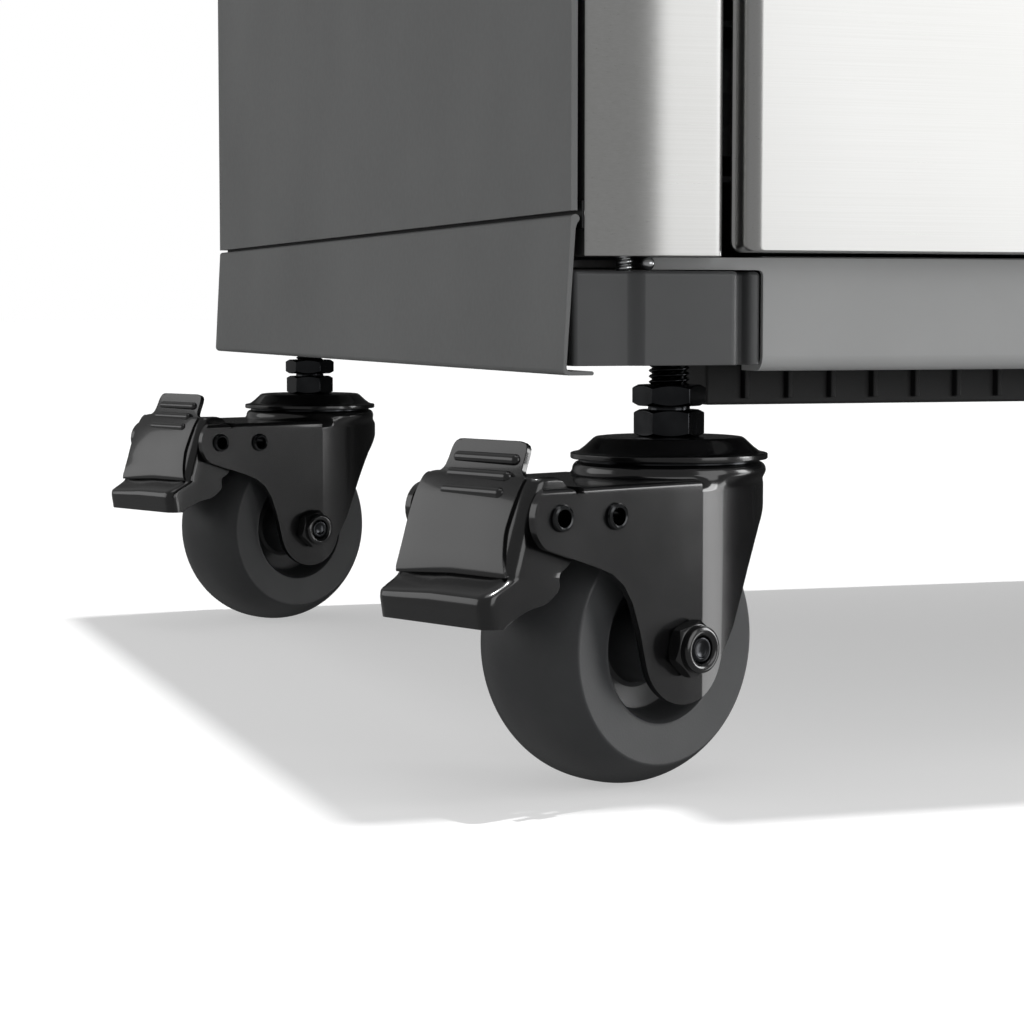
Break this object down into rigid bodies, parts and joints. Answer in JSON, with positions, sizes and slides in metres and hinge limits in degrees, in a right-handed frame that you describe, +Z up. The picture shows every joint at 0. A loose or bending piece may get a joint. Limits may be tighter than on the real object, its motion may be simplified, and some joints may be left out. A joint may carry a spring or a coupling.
{
  "type": "rolling tool chest",
  "caption": "Rolling tool chest: sheet-steel cabinet with stainless drawer faces and pulls, a rubber-topped lid, a side push handle and swivelling casters with brake pedals.",
  "frame": {"origin": "on the floor, under the middle of the whole object's box", "axes": "+Z up, the drawers open towards -Y, the push handle is on the +X side"},
  "size_m": [0.7766, 0.41, 0.88],
  "materials": {
    "shell_paint": "satin powder coat",
    "rail_paint": "satin powder coat",
    "stainless": "brushed",
    "zinc_steel": "zinc plated",
    "black_plastic": "fine moulded texture",
    "rubber_mat": "ribbed matt",
    "black_steel": "gloss enamel",
    "wheel_rubber": "moulded satin",
    "aluminium": "satin anodised"
  },
  "bodies": {
    "root": {"left_skirt": "shell_paint", "right_skirt": "shell_paint", "left_side_panel": "shell_paint", "right_side_panel": "shell_paint", "left_column": "stainless", "right_column": "stainless", "left_slide_liner": "zinc_steel", "right_slide_liner": "zinc_steel", "corner_block_front_left": "black_plastic", "corner_block_front_right": "black_plastic", "corner_block_rear_left": "black_plastic", "corner_block_rear_right": "black_plastic", "base_rail": "rail_paint", "base_pan": "shell_paint", "floor_brace": "black_plastic", "back_panel": "shell_paint", "top_panel": "shell_paint", "top_mat": "rubber_mat", "push_handle": "stainless", "caster_front_left_stem": "zinc_steel", "caster_front_left_jam_nut": "zinc_steel", "caster_front_left_cap": "black_steel", "caster_front_right_stem": "zinc_steel", "caster_front_right_jam_nut": "zinc_steel", "caster_front_right_cap": "black_steel", "caster_rear_left_stem": "zinc_steel", "caster_rear_left_jam_nut": "zinc_steel", "caster_rear_left_cap": "black_steel", "caster_rear_right_stem": "zinc_steel", "caster_rear_right_jam_nut": "zinc_steel", "caster_rear_right_cap": "black_steel"},
    "swivel_front_left": {"caster_front_left_fork": "black_steel", "caster_front_left_axle": "black_steel"},
    "wheel_front_left": {"caster_front_left_wheel": "wheel_rubber"},
    "pedal_front_left": {"caster_front_left_pedal": "black_steel"},
    "swivel_front_right": {"caster_front_right_fork": "black_steel", "caster_front_right_axle": "black_steel"},
    "wheel_front_right": {"caster_front_right_wheel": "wheel_rubber"},
    "pedal_front_right": {"caster_front_right_pedal": "black_steel"},
    "swivel_rear_left": {"caster_rear_left_fork": "black_steel", "caster_rear_left_axle": "black_steel"},
    "wheel_rear_left": {"caster_rear_left_wheel": "wheel_rubber"},
    "pedal_rear_left": {"caster_rear_left_pedal": "black_steel"},
    "swivel_rear_right": {"caster_rear_right_fork": "black_steel", "caster_rear_right_axle": "black_steel"},
    "wheel_rear_right": {"caster_rear_right_wheel": "wheel_rubber"},
    "pedal_rear_right": {"caster_rear_right_pedal": "black_steel"},
    "drawer_1": {"drawer_1_box": "zinc_steel", "drawer_1_front": "stainless", "drawer_1_pull": "aluminium"},
    "drawer_2": {"drawer_2_box": "zinc_steel", "drawer_2_front": "stainless", "drawer_2_pull": "aluminium"},
    "drawer_3": {"drawer_3_box": "zinc_steel", "drawer_3_front": "stainless", "drawer_3_pull": "aluminium"},
    "drawer_4": {"drawer_4_box": "zinc_steel", "drawer_4_front": "stainless", "drawer_4_pull": "aluminium"},
    "lock": {"lock_cylinder": "aluminium"}
  },
  "joints": [
    {"name": "front_left_swivel", "type": "hinge", "parent": "root", "child": "swivel_front_left", "pos_m": [-0.31006, -0.1528, 0.0718], "axis": [0, 0, 1], "continuous": true},
    {"name": "front_left_wheel_spin", "type": "hinge", "parent": "swivel_front_left", "child": "wheel_front_left", "pos_m": [-0.32513, -0.15951, 0.0325], "axis": [0.4067, -0.9135, 0], "continuous": true},
    {"name": "front_left_pedal_press", "type": "hinge", "parent": "swivel_front_left", "child": "pedal_front_left", "pos_m": [-0.35939, -0.17476, 0.063], "axis": [0.4067, -0.9135, 0], "range_deg": [0, 12]},
    {"name": "front_right_swivel", "type": "hinge", "parent": "root", "child": "swivel_front_right", "pos_m": [0.29474, -0.1528, 0.0718], "axis": [0, 0, 1], "continuous": true},
    {"name": "front_right_wheel_spin", "type": "hinge", "parent": "swivel_front_right", "child": "wheel_front_right", "pos_m": [0.30981, -0.15951, 0.0325], "axis": [0.4067, 0.9135, 0], "continuous": true},
    {"name": "front_right_pedal_press", "type": "hinge", "parent": "swivel_front_right", "child": "pedal_front_right", "pos_m": [0.34407, -0.17476, 0.063], "axis": [0.4067, 0.9135, 0], "range_deg": [0, 12]},
    {"name": "rear_left_swivel", "type": "hinge", "parent": "root", "child": "swivel_rear_left", "pos_m": [-0.31516, 0.181, 0.0718], "axis": [0, 0, 1], "continuous": true},
    {"name": "rear_left_wheel_spin", "type": "hinge", "parent": "swivel_rear_left", "child": "wheel_rear_left", "pos_m": [-0.33023, 0.17429, 0.0325], "axis": [0.4067, -0.9135, 0], "continuous": true},
    {"name": "rear_left_pedal_press", "type": "hinge", "parent": "swivel_rear_left", "child": "pedal_rear_left", "pos_m": [-0.36449, 0.15904, 0.063], "axis": [0.4067, -0.9135, 0], "range_deg": [0, 12]},
    {"name": "rear_right_swivel", "type": "hinge", "parent": "root", "child": "swivel_rear_right", "pos_m": [0.29984, 0.181, 0.0718], "axis": [0, 0, 1], "continuous": true},
    {"name": "rear_right_wheel_spin", "type": "hinge", "parent": "swivel_rear_right", "child": "wheel_rear_right", "pos_m": [0.31491, 0.17429, 0.0325], "axis": [0.4067, 0.9135, 0], "continuous": true},
    {"name": "rear_right_pedal_press", "type": "hinge", "parent": "swivel_rear_right", "child": "pedal_rear_right", "pos_m": [0.34917, 0.15904, 0.063], "axis": [0.4067, 0.9135, 0], "range_deg": [0, 12]},
    {"name": "drawer_1_slide", "type": "slide", "parent": "root", "child": "drawer_1", "axis": [0, -1, 0], "range_m": [0, 0.3]},
    {"name": "drawer_2_slide", "type": "slide", "parent": "root", "child": "drawer_2", "axis": [0, -1, 0], "range_m": [0, 0.3]},
    {"name": "drawer_3_slide", "type": "slide", "parent": "root", "child": "drawer_3", "axis": [0, -1, 0], "range_m": [0, 0.3]},
    {"name": "drawer_4_slide", "type": "slide", "parent": "root", "child": "drawer_4", "axis": [0, -1, 0], "range_m": [0, 0.3]},
    {"name": "lock_turn", "type": "hinge", "parent": "root", "child": "lock", "pos_m": [0.25434, -0.1828, 0.863], "axis": [0, 1, 0], "range_deg": [0, 90]}
  ]
}
